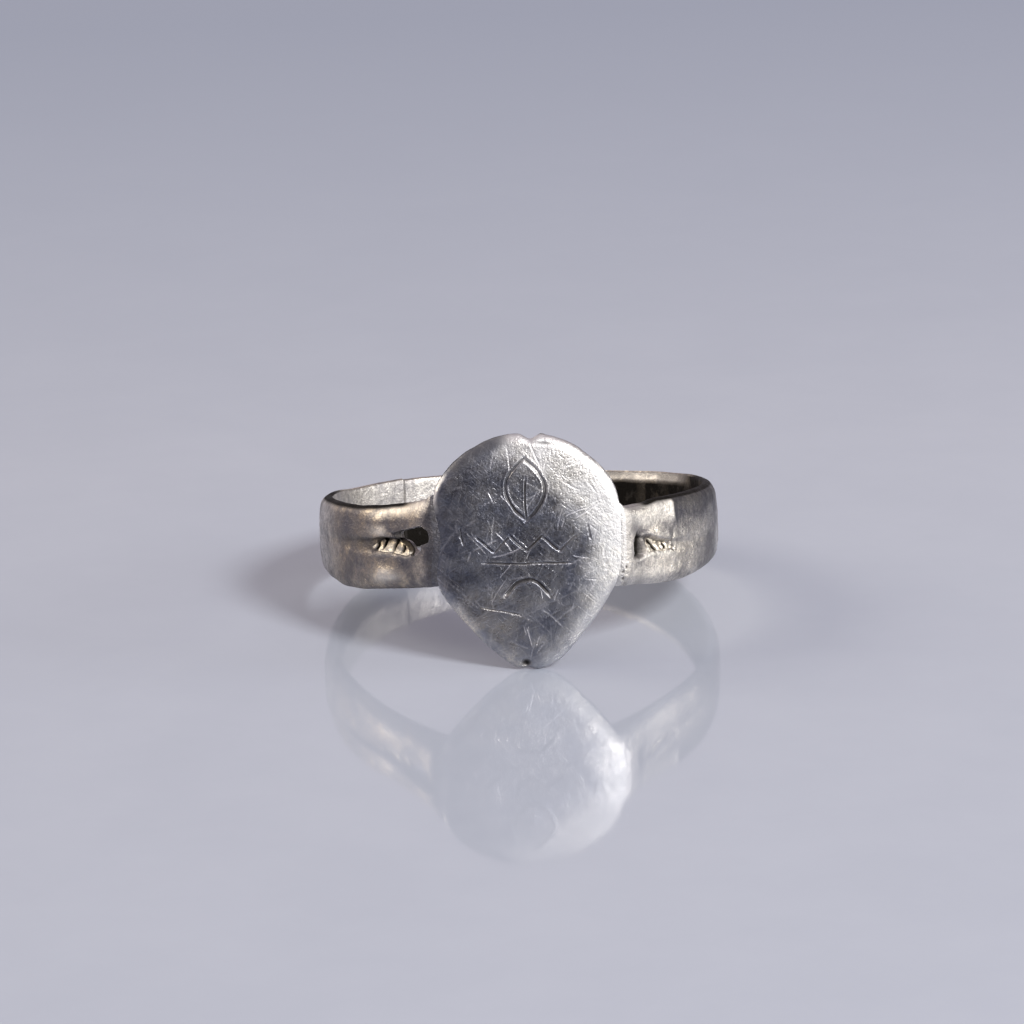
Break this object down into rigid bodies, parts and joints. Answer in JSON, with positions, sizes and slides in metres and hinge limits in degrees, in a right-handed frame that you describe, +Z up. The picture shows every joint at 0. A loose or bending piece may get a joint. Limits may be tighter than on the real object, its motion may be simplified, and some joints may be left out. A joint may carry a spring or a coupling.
{
  "type": "signet ring",
  "caption": "Worn silver signet ring: a drop-shaped engraved face plate soldered between grooved band arms with leaf-filled shoulder pockets, lying at rest on its plate tip.",
  "frame": {"origin": "on the finger hole's axis, in the middle of the band", "axes": "+Z up from the table the ring lies on, +X across the ring, +Y from the face plate to the back of the band; the finger hole's axis leans back from +Z by 12.7 degrees"},
  "size_m": [0.0204, 0.0213, 0.0115],
  "materials": {
    "face_silver": "satin, worn silver",
    "band_silver": "satin, worn silver",
    "ornament_silver": "tarnished silver",
    "solder": "silver solder, slightly yellow"
  },
  "bodies": {
    "root": {"signet_plate": "face_silver", "left_arm": "band_silver", "right_arm": "band_silver", "seam_solder": "solder", "left_solder": "solder", "right_solder": "solder", "left_ornament": "ornament_silver", "right_ornament": "ornament_silver"}
  },
  "joints": []
}
